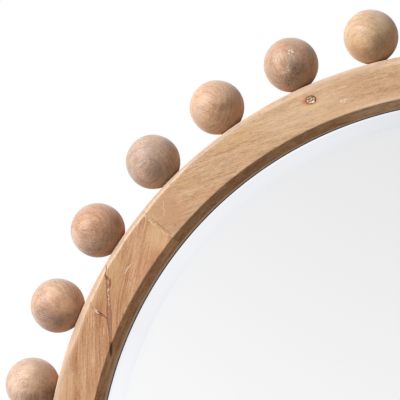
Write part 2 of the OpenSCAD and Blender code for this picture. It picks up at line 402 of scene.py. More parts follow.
ringMeshes = {  # the segment with the split is the finest
    "split": {"step": 0.8, "faceSteps": 46, "wallSteps": 24},
    "plain": {"step": 1.5, "faceSteps": 27, "wallSteps": 15},
}
ringFaceInner = ring["radius"] - ring["faceWidth"]
ringSight = ringFaceInner - ring["wallRun"]

ballCount = sum(1 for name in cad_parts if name[:5] == "ball_" and name[5:].isdigit())
ballStep = 360 / ballCount
ballTurn = 8.7  # degrees up from level to the even place of ball_01
ballStrays = (-0.008, -0.009, -0.024, 0.010, 0.014, -0.009, 0.004)  # off even steps, as shares of a step


def jointAngle(number):  # segments meet half way between two balls
    return ballTurn + (math.floor(number * ballCount / ring["segments"]) + 0.5) * ballStep


# The split in one segment, from its foot: up the face, how far across it lies, and half its width
split = [
    (121.0, -344.8, 0.30), (131.0, -344.2, 1.05), (138.0, -344.0, 1.20), (144.5, -344.5, 1.45),
    (152.0, -345.1, 1.85), (159.0, -345.4, 2.25), (166.0, -345.8, 1.85), (174.0, -346.2, 1.42),
    (182.0, -346.5, 1.50), (190.0, -346.8, 1.50), (193.4, -347.3, 1.55), (195.8, -348.2, 1.15),
    (198.1, -349.3, 0.55), (201.5, -348.2, 0.42), (205.0, -348.5, 0.45), (208.0, -348.6, 0.30),
]
splitLooks = {
    "grooveDepth": 0.05, "grooveStray": 0.03, "glow": (206, 142, 98), "edge": (146, 96, 68),
    "filler": ((0.38, (124, 84, 64)), (0.48, (164, 122, 98)), (0.60, (232, 204, 186))),
    "lower": ((0.36, (142, 100, 76)), (0.50, (162, 119, 94)), (0.66, (184, 142, 116))),
    "neck": (140, 90, 66), "stain": (140, 80, 54), "foot": (104, 66, 44),
    "stainSpot": {"at": (-344.7, 190.0), "size": (1.3, 4.4), "turn": -4.0},
    "noises": {"torn": (3.0, 4, 4.0, 0.6), "flecks": ((1.5, 1.5, 1.8), 14, 3.0, 0.8)},
}


def facePatch(at, size, turn, colour, share):  # a paler or darker patch of the face
    return {"at": at, "size": size, "turn": turn, "colour": colour, "share": share}


knot = {
    "at": (-158.2, 359.3), "size": (4.7, 3.6), "turn": 12.0,
    "dip": 0.02, "dipWide": 3.4, "groove": 0.07, "grooveAt": 4.3, "grooveWide": 0.6,
    "halo": {"at": (-159.2, 358.9), "size": (8.6, 5.3), "turn": 14.0}, "haloTone": (196, 108, 60),
    "pale": facePatch((-168.0, 348.0), (60.0, 15.0), 26.0, (232, 200, 166), 0.35),
    "straw": facePatch((-157.0, 353.4), (9.0, 3.4), 14.0, (232, 190, 128), 0.45),
    # the shine is a painted highlight on the knot
    "shine": {"at": (-156.6, 357.6), "size": (2.3, 1.2), "turn": 24.0}, "knotHighlightTone": (250, 240, 226),
    "speck": {"at": (-128.0, 358.8), "size": (5.5, 2.0), "turn": 14.0}, "bark": (74, 48, 38),
    "core": ((0.42, (96, 68, 48)), (0.49, (176, 136, 100)), (0.57, (232, 208, 178))),
    "chip": ((0.40, (172, 120, 84)), (0.5, (226, 190, 152)), (0.58, (250, 236, 214))),
    "noises": {
        "torn": (2.2, 2, 3.0, 0.7), "heart": ((1.5, 1.5, 1.2), 6, 2.0, 0.7), "chip": (1.6, 9, 2.0, 0.5),
    },
}

segmentLooks = {
    1: {"turn": (0, 35.5, 0), "shift": 61.0, "drift": (0, 0, 12), "pith": (-14, 80)},
    2: {"turn": (0, 77.0, 0), "shift": 13.0, "drift": (0, 0, -8), "pith": (30, 70)},
    3: {
        "turn": (0, 19.0, 0), "shift": 29.0, "drift": (0, 0, -380), "pith": (34, 120), "lean": -0.04,
        "ringGap": 4.6, "bands": 0.24, "streaks": 0.42, "fibres": 0.46, "threads": 0.56, "poreShare": 0.4,
        # its wall tone is painted shade, darker on this segment's sloped wall
        "speckle": 0.4, "wallShadeTone": (0.78, 0.68, 0.58), "fibresSize": (24.0, 0.8, 0.8),
        "threadsSize": (11.0, 0.6, 0.6), "drySize": (8.0, 0.9, 0.9),
        "patches": [
            facePatch((-289.9, 256.5), (32.0, 19.0), 138.5, (189, 141, 107), 0.85),
            facePatch((-127.3, 369.7), (34.0, 8.0), 19.0, (195, 152, 116), 0.65),
            facePatch((-131.0, 350.3), (40.0, 7.5), 20.5, (222, 184, 144), 0.65),
            # on the sloped wall, paler: a painted pool of light
            facePatch((-92.0, 351.5), (44.0, 9.0), 14.7, (250, 224, 192), 0.85),
            # on the sloped wall, darker: painted shade
            facePatch((-215.0, 293.0), (30.0, 5.5), 36.3, (184, 136, 98), 0.55),
        ],
    },
    4: {
        "turn": (0, 90.0, 0), "shift": 47.0, "drift": (0, 0, -350), "pith": (-22, 85), "lean": 0.0,
        "bend": 0.22, "bendFrom": 168.0, "ringGap": 6.4, "bands": 0.4, "streaks": 0.44, "fibres": 0.42,
        "threads": 0.5, "speckle": 0.4, "fibresSize": (44.0, 0.8, 0.8), "threadsSize": (20.0, 0.6, 0.6),
        "drySize": (8.0, 0.9, 0.9), "middle": (190, 142, 104), "dark": (160, 108, 72),
        # its wall tone is painted shade, lighter on this segment's sloped wall
        "light": (212, 170, 132), "rosy": (192, 134, 98), "wallShadeTone": (1.08, 1.03, 0.98),
        "patches": [
            facePatch((-299.1, 231.2), (17.0, 13.0), 142.3, (222, 180, 136), 0.7),
            facePatch((-342.0, 183.0), (30.0, 10.0), 62.0, (188, 138, 102), 0.3),
            facePatch((-384.0, 92.2), (20.0, 8.0), 76.5, (216, 174, 134), 0.65),
            facePatch((-364.6, 87.5), (20.0, 7.0), 76.5, (186, 138, 100), 0.55),
            # on the sloped wall, paler: a painted pool of light
            facePatch((-346.2, 109.0), (26.0, 5.0), 72.5, (226, 182, 140), 0.6),
        ],
    },
    5: {"turn": (0, 35.5, 0), "shift": 71.0, "drift": (0, 0, 4), "pith": (12, 100)},
    6: {"turn": (0, 77.0, 0), "shift": 83.0, "drift": (0, 0, 20), "pith": (-26, 76)},
    7: {"turn": (0, 119.5, 0), "shift": 97.0, "drift": (0, 0, -14), "pith": (18, 90)},
    8: {"turn": (0, 168.0, 0), "shift": 107.0, "drift": (0, 0, 9), "pith": (-8, 112)},
}


def splitDistance(x, z):  # how far off the split, and its half width there
    up, line, half = np.array(split).T
    off = np.abs(x - np.interp(z, up, line))
    outside = np.maximum(0, np.maximum(up[0] - z, z - up[-1]))
    return np.hypot(off, outside), np.interp(z, up, half)


def edgeWidth(angles):  # how wide the worn outer edge is at each angle
    wide = ring["edgeWide"]
    for amount, count, start in ring["edgeWaves"]:
        wide = wide + amount * np.sin(count * angles + math.radians(start))
    return wide


def ringSections(angles, faceSteps, wallSteps):  # the ring's section at each angle, worn all the way round
    around = np.stack([np.cos(angles), np.sin(angles)], -1) * ring["radius"]
    across = edgeWidth(angles)[:, None]
    deep = across * (ring["edgeFall"] + ring["edgeFallStray"] * ripple(around, 55, 7)[:, None])
    flat = softStep(ripple(around, 90, 9), -0.35, 0.45)[:, None]  # 1 where the worn edge is a flat
    outer, front, back, soft = ring["radius"], ring["front"], ring["back"], ring["softEdge"]
    lipBack = front - ring["lipDepth"]
    lipFront = lipBack + ring["lipEdge"]
    one = np.ones((len(angles), 1))
    radii, heights, kinds = [], [], []

    def station(r, h, kind):
        radii.append(r * one)
        heights.append(h * one)
        kinds.append(kind)

    for t in np.linspace(0, 1, ring["softSteps"])[1:]:  # the sharp inner edge of the face, barely broken
        a = t * math.pi / 2
        station(ringFaceInner + soft - soft * math.cos(a), front - soft + soft * math.sin(a), "face")
    inner = ringFaceInner + soft
    for t in np.linspace(0, 1, faceSteps)[1:]:
        station(inner + t * (outer - across - inner), front, "face")
    for t in np.linspace(0, 1, ring["edgeSteps"])[1:]:
        a = t * math.pi / 2
        rounded = (outer - across + across * math.sin(a), front - deep + deep * math.cos(a))
        ease = softStep(np.array([t]), 0.0, 0.12)[0] * (1 - softStep(np.array([t]), 0.8, 1.0)[0])
        level = (outer - across + across * t, front - deep * (0.12 * ease + t * (1 - 0.12 * ease)))
        r, h = (curved * (1 - flat) + straight * flat for curved, straight in zip(rounded, level))
        station(r, h, "edge")
    for t in np.linspace(0, 1, ring["outsideSteps"])[1:]:
        station(outer, (front - deep) * (1 - t) + (back + ring["backEdge"]) * t, "outside")
    station(outer - ring["backEdge"] * 0.45, back + ring["backEdge"] * 0.45, "outside")
    station(outer - ring["backEdge"], back, "back")
    for t in np.linspace(0, 1, ring["backSteps"])[1:]:
        station((outer - ring["backEdge"]) * (1 - t) + ring["recess"] * t, back, "back")
    for h in (*ring["recessHeights"], ring["boardFront"]):
        station(ring["recess"], h, "hidden")
    for t in (0.5, 1.0):
        station(ring["recess"] * (1 - t) + ring["rebate"] * t, ring["boardFront"], "hidden")
    station(ring["rebate"], lipBack, "hidden")
    station((ring["rebate"] + ringSight) / 2, lipBack, "hidden")
    station(ringSight, lipBack, "hidden")
    station(ringSight, lipFront - ring["lipBreak"], "lip")
    station(ringSight + ring["lipBreak"], lipFront, "lip")
    station(ringSight + ring["lipFlat"], lipFront, "lip")
    wallStart = ringSight + ring["lipFlat"]
    for t in np.linspace(0, 1, wallSteps)[1:-1]:
        station(wallStart * (1 - t) + ringFaceInner * t, lipFront * (1 - t) + (front - soft) * t, "wall")
    station(ringFaceInner, front - soft, "wall")
    return np.hstack(radii), np.hstack(heights), kinds


def ringSegment(number, material, step, faceSteps, wallSteps):
    start, stop = math.radians(jointAngle(number - 1)), math.radians(jointAngle(number))
    trim = ring["glueGap"] / 2 / ringSight
    arc = stop - start - 2 * trim
    turns = np.linspace(0, arc, math.ceil(arc * ring["radius"] / step) + 1)
    close = np.array(ring["endRows"]) / ring["radius"]
    turns = np.unique(np.concatenate([turns, close, arc - close]))
    angles = start + trim + turns
    radii, heights, kinds = ringSections(angles, faceSteps, wallSteps)
    dr = np.roll(radii, -1, 1) - np.roll(radii, 1, 1)
    dh = np.roll(heights, -1, 1) - np.roll(heights, 1, 1)
    size = np.hypot(dr, dh) + 1e-9
    outR, outH = -dh / size, dr / size
    x, z = radii * np.cos(angles)[:, None], radii * np.sin(angles)[:, None]
    place = np.stack([x, -heights, z], -1)
    seen = np.array([kind in ("face", "edge", "outside", "wall") for kind in kinds])
    wall = np.array([kind == "wall" for kind in kinds])
    front = np.array([kind in ("face", "edge", "wall") for kind in kinds])
    cut = ring["swell"] * (0.5 + 0.5 * ripple(place, 34, 31)) * seen
    cut += ring["fineSwell"] * (0.5 + 0.5 * ripple(place, 7, 32)) * seen
    arcPlace = np.broadcast_to((angles * ringFaceInner)[:, None, None], radii.shape + (1,))
    marks = np.clip(ripple(arcPlace, 5.0, 33) * ripple(arcPlace, 31.0, 34) * 2, 0, 1)
    cut += ring["chatter"] * marks * wall
    toEnd = np.minimum(turns, arc - turns)[:, None] * ring["radius"]
    worn = 0.55 + 0.45 * ripple(place, 6, 35 + number)
    cut += ring["jointDepth"] * worn * np.exp(-((toEnd / ring["jointWidth"]) ** 2))
    if number == ring["splitSegment"]:
        off, half = splitDistance(x, z)
        groove = softStep(1 - off / (half + 0.3), 0, 0.6)
        deep = splitLooks["grooveDepth"] + splitLooks["grooveStray"] * ripple(place, 5, 36)
        cut += groove * deep * front
    if number == ring["knotSegment"]:
        off = np.hypot(x - knot["at"][0], z - knot["at"][1])
        dip = knot["dip"] * np.exp(-((off / knot["dipWide"]) ** 2))
        groove = knot["groove"] * np.exp(-(((off - knot["grooveAt"]) / knot["grooveWide"]) ** 2))
        cut += (dip + groove) * front
    dice = np.random.default_rng(50 + number)
    for k in range(ring["dents"]):  # a few knocks, first along the outer edge and then on the face
        at = dice.uniform(0.05, 0.95) * arc + start
        rim = ring["radius"] - (dice.uniform(0, 4) if k < ring["rimDents"] else dice.uniform(6, 34))
        wide = dice.uniform(1.2, 3.0)
        off = np.hypot(x - rim * math.cos(at), z - rim * math.sin(at))
        cut += ring["dent"] * dice.uniform(0.4, 1.0) * np.exp(-((off / wide) ** 2)) * front
    radii, heights = radii - outR * cut, heights - outH * cut
    points = np.stack([radii * np.cos(angles)[:, None], -heights, radii * np.sin(angles)[:, None]], -1)
    rows, columns = radii.shape
    faces = gridFaces(rows, columns)
    faces += [list(range(columns)), list(range((rows - 1) * columns, rows * columns))]
    addPiece(f"ring_segment_{number}_wood", points.reshape(-1, 3), faces, [material],
             [f"ring_segment_{number}"], crisp=50)


def scratch(start, end, half, colour, strength, **ways):
    return {"from": start, "to": end, "half": half, "colour": colour, "strength": strength, **ways}


scratches = {
    3: [
        scratch((-163.5, 356.5), (-174.5, 353.2), 0.35, (150, 96, 66), 0.55, broken=0.46, wander=1.4),
        scratch((-160.0, 359.0), (-168.0, 357.2), 0.3, (136, 84, 58), 0.5),
        scratch((-148.0, 365.0), (-124.0, 373.0), 0.5, (238, 212, 182), 0.55, broken=0.42),
        scratch((-146.0, 361.5), (-130.0, 367.5), 0.4, (238, 212, 182), 0.45, broken=0.44),
        scratch((-185.0, 358.9), (-178.6, 363.0), 0.45, (140, 92, 62), 0.5, wander=1.0),
        scratch((-295.2, 266.5), (-294.2, 252.0), 0.45, (232, 202, 170), 0.5, wander=1.6),
        scratch((-298.8, 262.0), (-292.8, 256.5), 0.3, (236, 208, 178), 0.4),
        scratch((-314.5, 256.6), (-300.4, 245.2), 0.5, (160, 104, 68), 0.7, broken=0.44, wander=0.6,
                dash=1.6),
        scratch((-301.6, 246.0), (-287.0, 234.6), 0.6, (134, 84, 52), 0.75, broken=0.46, wander=0.7,
                dash=1.4),
    ],
    4: [
        scratch((-332.0, 197.6), (-325.0, 207.6), 0.34, (246, 228, 210), 0.65, wander=0.5, broken=0.34),
        scratch((-331.2, 200.6), (-327.4, 205.4), 0.3, (236, 210, 186), 0.6, wander=0.5),
        scratch((-324.8, 206.0), (-322.6, 205.0), 0.4, (216, 160, 122), 0.6),
        scratch((-363.6, 172.5), (-360.2, 163.8), 0.75, (144, 90, 62), 0.75, broken=0.42, wander=1.6,
                dash=1.3),
        scratch((-360.0, 165.6), (-354.6, 160.8), 1.3, (244, 218, 202), 0.9, broken=0.5, wander=1.4,
                dash=1.1),
        scratch((-356.8, 163.6), (-351.2, 160.4), 0.75, (108, 56, 44), 0.95, wander=0.9),
        scratch((-356.6, 161.4), (-351.0, 158.6), 0.6, (118, 64, 50), 0.85, broken=0.36, wander=0.9,
                dash=1.5),
        scratch((-351.4, 160.0), (-347.0, 156.4), 0.75, (120, 68, 50), 0.8, wander=1.0),
        scratch((-313.6, 252.8), (-310.2, 250.0), 0.75, (246, 226, 204), 0.6, wander=0.8, wave=1.5,
                broken=0.44, dash=1.2),
        scratch((-309.3, 248.6), (-301.4, 242.4), 0.9, (240, 218, 186), 0.65, broken=0.46, wander=1.2,
                wave=1.8, dash=1.5),
        scratch((-297.6, 239.4), (-290.6, 234.0), 0.6, (244, 216, 180), 0.6, broken=0.48, wander=0.6,
                dash=1.4),
        scratch((-309.5, 247.5), (-303.5, 230.0), 0.5, (172, 124, 90), 0.35, broken=0.45, wander=1.2),
    ],
}


# Paints the worn outer edge with a painted highlight along its ridge, painted shade on the sloped inner
# wall and a painted highlight on the lip.
def edgeWearAndPaintedLight(tree, across, into, up, colour, height, tone):  # the rubbed edge, the sloped wall and the lip
    outward = lengthOf(tree, joinAxes(tree, across, 0.0, up))
    turn = sums(tree, "ARCTAN2", up, across)
    wide = ring["edgeWide"]
    for amount, count, start in ring["edgeWaves"]:
        wave = sums(tree, "SINE", timesPlus(tree, turn, count, math.radians(start)))
        wide = timesPlus(tree, wave, amount, wide)
    past = minus(tree, outward, minus(tree, ring["radius"], wide))
    path = joinAxes(tree, times(tree, turn, ring["radius"]), outward, into)
    noise = noisesOf(tree, path, edgeNoises)
    past = nudge(tree, past, noise["torn"], 1.3)
    front = fadeOut(tree, into, -ring["front"] + 5.0, -ring["front"] + 9.0)
    count, start = ring["crispWaves"]
    crisp = sums(tree, "COSINE", timesPlus(tree, turn, count, math.radians(start)))
    share = stretch(tree, crisp, 0.2, 0.9, ring["rubbedShare"], 0.05)
    rubbed = times(tree, stretch(tree, past, -3.4, -0.6), share)
    colour = layOn(tree, colour, times(tree, rubbed, front), ring["rubbed"])
    onArris = times(tree, stretch(tree, past, -0.3, 0.5), front)
    colour = layLook(tree, colour, onArris, ring, "arris")
    # A pale broken line along the ridge where the face meets the worn edge, strongest where the edge is
    # crisp: a painted highlight, partly pale wear.
    ridgeHighlight = within(tree, minus(tree, past, 0.8), 0.35, 1.25)
    ridgeHighlight = times(tree, ridgeHighlight, stretch(tree, crisp, -0.35, 0.7, 0.04, 1.0))
    ridgeHighlight = times(tree, times(tree, ridgeHighlight, front), stretch(tree, noise["dashes"], 0.34, 0.56))
    colour = layLook(tree, colour, ridgeHighlight, ring, "ridgeHighlight")
    inside = within(tree, plus(tree, past, 0.2), 0.15, 0.6)
    inside = times(tree, times(tree, inside, front), stretch(tree, noise["dashes"], 0.58, 0.66, 0.0, 0.7))
    colour = layOn(tree, colour, inside, ring["tornTone"])
    # On the sloped inner wall the colour is multiplied by the wall tone, as painted shade that darkens
    # towards the face edge; the stain and planed patches on it vary at random.
    onWall = fadeOut(tree, outward, ringFaceInner - 0.5, ringFaceInner + 0.1)
    shade = mixColours(tree, 1.0, colour, tone + (1.0,), "MULTIPLY")
    stained, planed = ring["stainSpan"], ring["planedSpan"]
    shade = layOn(tree, shade, stretch(tree, noise["patches"], *stained), ring["wallStain"])
    shade = layOn(tree, shade, stretch(tree, noise["planed"], *planed), ring["planedTone"])
    top = stretch(tree, outward, ringFaceInner - 5.0, ringFaceInner - 1.0, 1.0, ring["wallTopShade"])
    shade = scaledBy(tree, shade, top)
    colour = mixColours(tree, onWall, colour, shade)
    # A pale band along the lip at the sight edge: a painted highlight.
    reach = timesPlus(tree, sums(tree, "ABSOLUTE", across), ring["lipTaper"], outward)
    lip = fadeOut(tree, reach, ringSight - 0.05, ringSight + 0.80)
    colour = layOn(tree, colour, lip, ring["lipHighlightTone"])
    height = timesPlus(tree, times(tree, onArris, noise["dashes"]), 0.5, height)
    return colour, height


def addKnot(tree, place, across, up, colour, height):
    near = spotMark(tree, across, up, knot)
    wide = spotMark(tree, across, up, knot["halo"])
    noise = noisesOf(tree, place, knot["noises"])
    ragged = nudge(tree, near, noise["torn"], 0.5)
    for patch in (knot["pale"], knot["straw"]):
        off = spotMark(tree, across, up, patch)
        colour = layOn(tree, colour, fadeOut(tree, off, 0.3, 1.1, patch["share"]), patch["colour"])
    glow = times(tree, fadeOut(tree, wide, 0.45, 1.15), 0.78)
    colour = layOn(tree, colour, glow, knot["haloTone"])
    heart = fadeOut(tree, ragged, 0.74, 0.98)
    colour = mixColours(tree, heart, colour, toneRamp(tree, noise["heart"], knot["core"]))
    band = times(tree, stretch(tree, ragged, 0.74, 0.94), fadeOut(tree, ragged, 1.0, 1.18))
    side = timesPlus(tree, minus(tree, up, knot["at"][1]), 0.08,
                     times(tree, minus(tree, across, knot["at"][0]), 0.05))
    band = times(tree, band, plus(tree, side, 0.78, clamp=True))
    colour = layOn(tree, colour, band, knot["bark"])
    # A white crescent at the lower right of the knot: a painted highlight.
    shine = spotMark(tree, across, up, knot["shine"])
    shine = nudge(tree, shine, noise["torn"], 1.6)
    colour = layOn(tree, colour, fadeOut(tree, shine, 0.5, 1.0, 0.9), knot["knotHighlightTone"])
    speck = spotMark(tree, across, up, knot["speck"])
    chip = toneRamp(tree, noise["chip"], knot["chip"])
    colour = mixColours(tree, fadeOut(tree, speck, 0.35, 1.1, 0.55), colour, chip)
    height = timesPlus(tree, band, -1.4, height)
    return colour, height


def addSplit(tree, place, across, up, colour, height):
    line = curveOf(tree, up, [(at, off) for at, off, _ in split], -350.0, -343.0)
    half = curveOf(tree, up, [(at, wide) for at, _, wide in split], 0.0, 2.2)
    noise = noisesOf(tree, place, splitLooks["noises"])
    torn = minus(tree, noise["torn"], 0.5)
    off = timesPlus(tree, torn, 1.1, minus(tree, across, line))
    share = sums(tree, "DIVIDE", sums(tree, "ABSOLUTE", off), half)
    ends = times(tree, stretch(tree, up, 119.0, 124.0), stretch(tree, up, 207.5, 204.5))
    glow = times(tree, fadeOut(tree, share, 1.2, 4.2, 0.30), ends)
    glow = times(tree, glow, stretch(tree, up, 199.0, 192.0))
    colour = layOn(tree, colour, glow, splitLooks["glow"])
    edge = times(tree, fadeOut(tree, share, 1.0, 1.4, 0.85), ends)
    colour = layOn(tree, colour, edge, splitLooks["edge"])
    filler, lower = (toneRamp(tree, noise["flecks"], splitLooks[kind]) for kind in ("filler", "lower"))
    filler = mixColours(tree, stretch(tree, up, 178.0, 160.0), filler, lower)
    filler = layOn(tree, filler, stretch(tree, up, 191.5, 193.5), splitLooks["neck"])
    filled = times(tree, fadeOut(tree, share, 0.42, 0.78), ends)
    colour = mixColours(tree, filled, colour, filler)
    stain = spotMark(tree, across, up, splitLooks["stainSpot"])
    stained = timesPlus(tree, torn, 0.9, stain)
    colour = layOn(tree, colour, fadeOut(tree, stained, 0.5, 1.15, 0.85), splitLooks["stain"])
    low = times(tree, stretch(tree, up, 137.0, 132.5), fadeOut(tree, share, 0.7, 1.5))
    colour = layOn(tree, colour, times(tree, low, ends), splitLooks["foot"])
    height = timesPlus(tree, stretch(tree, share, 0.7, 1.2, -0.6, 0.0), ends, height)
    return colour, height


def ringFinish(number):
    look = dict(woodBase, **segmentLooks[number])
    material, tree, shader = blankFinish(f"ringWood{number}", Specular_IOR_Level=0.2)
    place = benchPlace(tree)
    across, into, up = splitAxes(tree, place)
    colour, height, fibres, _ = woodColour(tree, place, look)
    # Patches of tone; the few on the sloped wall are painted light and shade
    for mark in look.get("patches", ()):
        near = spotMark(tree, across, up, mark)
        near = nudge(tree, near, fibres, 0.9)
        share = fadeOut(tree, near, 0.35, 1.15, mark["share"])
        colour = mixColours(tree, share, colour, mixColours(tree, 0.25, paint(*mark["colour"]), colour))
    # the wall tone is painted shade for the sloped inner wall
    tone = look.get("wallShadeTone", ring["wallShadeTone"])
    colour, height = edgeWearAndPaintedLight(tree, across, into, up, colour, height, tone)
    if number == ring["knotSegment"]:
        colour, height = addKnot(tree, place, across, up, colour, height)
    if number == ring["splitSegment"]:
        colour, height = addSplit(tree, place, across, up, colour, height)
    for mark in scratches.get(number, ()):
        colour = layOn(tree, colour, lineMark(tree, across, up, mark), mark["colour"])
    finishWood(tree, shader, look, colour, height, fibres)
    return material


for number in range(1, ring["segments"] + 1):
    fineness = "split" if number == ring["splitSegment"] else "plain"
    ringSegment(number, ringFinish(number), **ringMeshes[fineness])
print("ring segments made")


# The balls

balls = {
    "radius": 25.4, "centre": 430.2, "middle": 28.0, "around": 96, "rings": 56, "poleCut": 0.1,
    "seatGap": 0.1, "dowel": 5.05, "dowelDepth": 20.5, "outOfRound": 0.12, "toolMarks": 0.03,
}
ballBase = dict(
    woodBase, light=(212, 178, 150), middle=(188, 147, 118), dark=(152, 110, 84), ringGap=3.4,
    pith=(6.0, 34.0), lean=0.0, sway=5.0, bands=0.26, streaks=0.26, fibres=0.48, threads=0.58,
    speckle=0.24, rosy=(190, 134, 102), rosyShare=0.45, straw=(202, 163, 125), strawShare=0.40,
    dry=(226, 206, 190), dryShare=0.40, pore=(104, 74, 58), poreShare=0.60, rough=(0.62, 0.84),
    relief=0.08, fibresSize=(26.0, 0.8, 0.8), threadsSize=(12.0, 0.6, 0.6), drySize=(8.0, 0.8, 0.8),
    wobble=0.7, grey=(146, 124, 112), greyShare=0.40, lathe=(120, 90, 70), latheShare=0.10,
    # the seat tone is painted shade, warmed as by light bounced off the ring, where the ball turns towards
    # the ring
    seatShadeTone=(0.99, 0.87, 0.71), seatShadeFrom=(8.0, -17.0), dust=(126, 102, 88),
)
ballNoises = {
    "weather": ((30.0, 16.0, 16.0), 53, 3.0, 0.5), "fuzz": ((6.0, 1.4, 1.4), 59, 3.0, 0.7),
    "specks": ((2.6, 0.9, 0.9), 61, 2.0, 0.7),
}
ballGloss = {
    "Specular_IOR_Level": 0.1, "Coat_Weight": 0.35, "Coat_Roughness": 0.34,
    "Sheen_Weight": 0.5, "Sheen_Roughness": 0.5,
}
# The balls in view. A smudge has its place, size, tone and strength. Besides smudges of dust and tone, the
# pale smudges near the left and top rims are painted highlight and sheen, and many dark ones at the
# middle, the bottom and the lower right are painted shade.
# A fleck has its place, width, height, lean, tone and the level above which its specks show
ballLooks = {
    10: {
        "turn": (0, 40, 20), "middle": (198, 162, 124), "light": (222, 190, 152), "dark": (166, 130, 96),
        "greyShare": 0.22,
        "smudgesAndPaintedLight": [((-4, -13), 4.5, (128, 96, 72), 0.4), ((10, -5), 11.0, (138, 112, 86), 0.6),
                    ((3, -15), 9.0, (150, 112, 80), 0.5), ((-12, -15), 9.0, (172, 126, 90), 0.5),
                    ((13, 15), 11.0, (222, 196, 164), 0.4)],
    },
    11: {
        "turn": (0, -60, 10), "middle": (184, 144, 112), "dark": (146, 104, 78), "threads": 0.55,
        "smudgesAndPaintedLight": [((9, -3), 10.5, (104, 82, 68), 0.62), ((3, 2), 11.0, (142, 112, 90), 0.5),
                    ((2, -13), 8.0, (112, 88, 72), 0.4), ((1, 15), 9.0, (150, 114, 90), 0.45)],
        "flecks": [((2.5, 9), 5.2, 11.5, 14.0, (214, 198, 184), 0.51),
                   ((1, -3), 3.4, 10.0, -8.0, (222, 206, 190), 0.52),
                   ((0, -14), 4.5, 9.0, -16.0, (58, 44, 38), 0.52),
                   ((5, -4), 5.0, 16.0, 14.0, (74, 56, 46), 0.54)],
    },
    12: {
        "turn": (0, -24, 25), "middle": (202, 160, 127), "light": (220, 184, 152), "bands": 0.34,
        "greyShare": 0.2,
        "smudgesAndPaintedLight": [((8, 1), 5.5, (110, 82, 64), 0.6), ((14, 5), 5.5, (120, 92, 72), 0.5),
                    ((0, -2), 11.0, (150, 102, 66), 0.5), ((-15, -2), 8.0, (190, 166, 148), 0.4),
                    ((-9, 1), 4.0, (150, 118, 94), 0.4)],
    },
    13: {
        "turn": (0, 38, 15), "middle": (184, 152, 128), "light": (210, 182, 160), "greyShare": 0.75,
        "threads": 0.55,
        "smudgesAndPaintedLight": [((2, 2), 13.0, (150, 128, 112), 0.5), ((4, -8), 10.0, (126, 106, 92), 0.6),
                    ((0, 15), 9.0, (156, 134, 122), 0.5)],
        "flecks": [((2, 3), 9.0, 8.0, 0.0, (104, 84, 72), 0.57),
                   ((-6, 10), 14.0, 9.0, 20.0, (212, 192, 178), 0.6)],
    },
    14: {
        "turn": (0, -8, 20), "middle": (187, 140, 108), "dark": (148, 104, 76), "greyShare": 0.45,
        "smudgesAndPaintedLight": [((0, -13), 11.0, (146, 124, 112), 0.5), ((20, 8), 6.0, (110, 78, 64), 0.5),
                    ((2, 1), 11.0, (158, 116, 88), 0.45), ((-21, -5), 9.0, (226, 198, 176), 0.45)],
        "flecks": [((0, -12), 13.0, 5.0, -4.0, (202, 186, 174), 0.57),
                   ((1, 2), 11.0, 5.5, -8.0, (112, 78, 60), 0.56)],
    },
    15: {
        "turn": (0, -26, 20), "middle": (195, 155, 126), "light": (218, 184, 157),
        "smudgesAndPaintedLight": [((-10, -6), 11.0, (136, 104, 84), 0.6), ((4, -13), 7.5, (108, 94, 86), 0.65),
                    ((15, 1), 10.0, (232, 190, 158), 0.85), ((0, 15), 9.0, (234, 200, 170), 0.28)],
        "flecks": [((-9, -8), 12.0, 7.0, -25.0, (92, 66, 52), 0.53)],
    },
    16: {
        "turn": (0, 76, 25), "middle": (198, 164, 138), "light": (216, 186, 161), "bands": 0.18,
        "fibres": 0.36, "greyShare": 0.25,
        "smudgesAndPaintedLight": [((6, 12), 5.0, (160, 120, 94), 0.4), ((3, -14), 10.0, (124, 80, 50), 0.75),
                    ((20, -8), 11.0, (112, 66, 42), 0.75), ((-15, 0), 9.0, (242, 218, 196), 0.4),
                    ((0, 15), 8.0, (238, 208, 180), 0.3)],
    },
}


def ballAngle(number):
    stray = ballStrays[(number + 3) % len(ballStrays)]
    return math.radians(ballTurn + (number - 1 + stray) * ballStep)


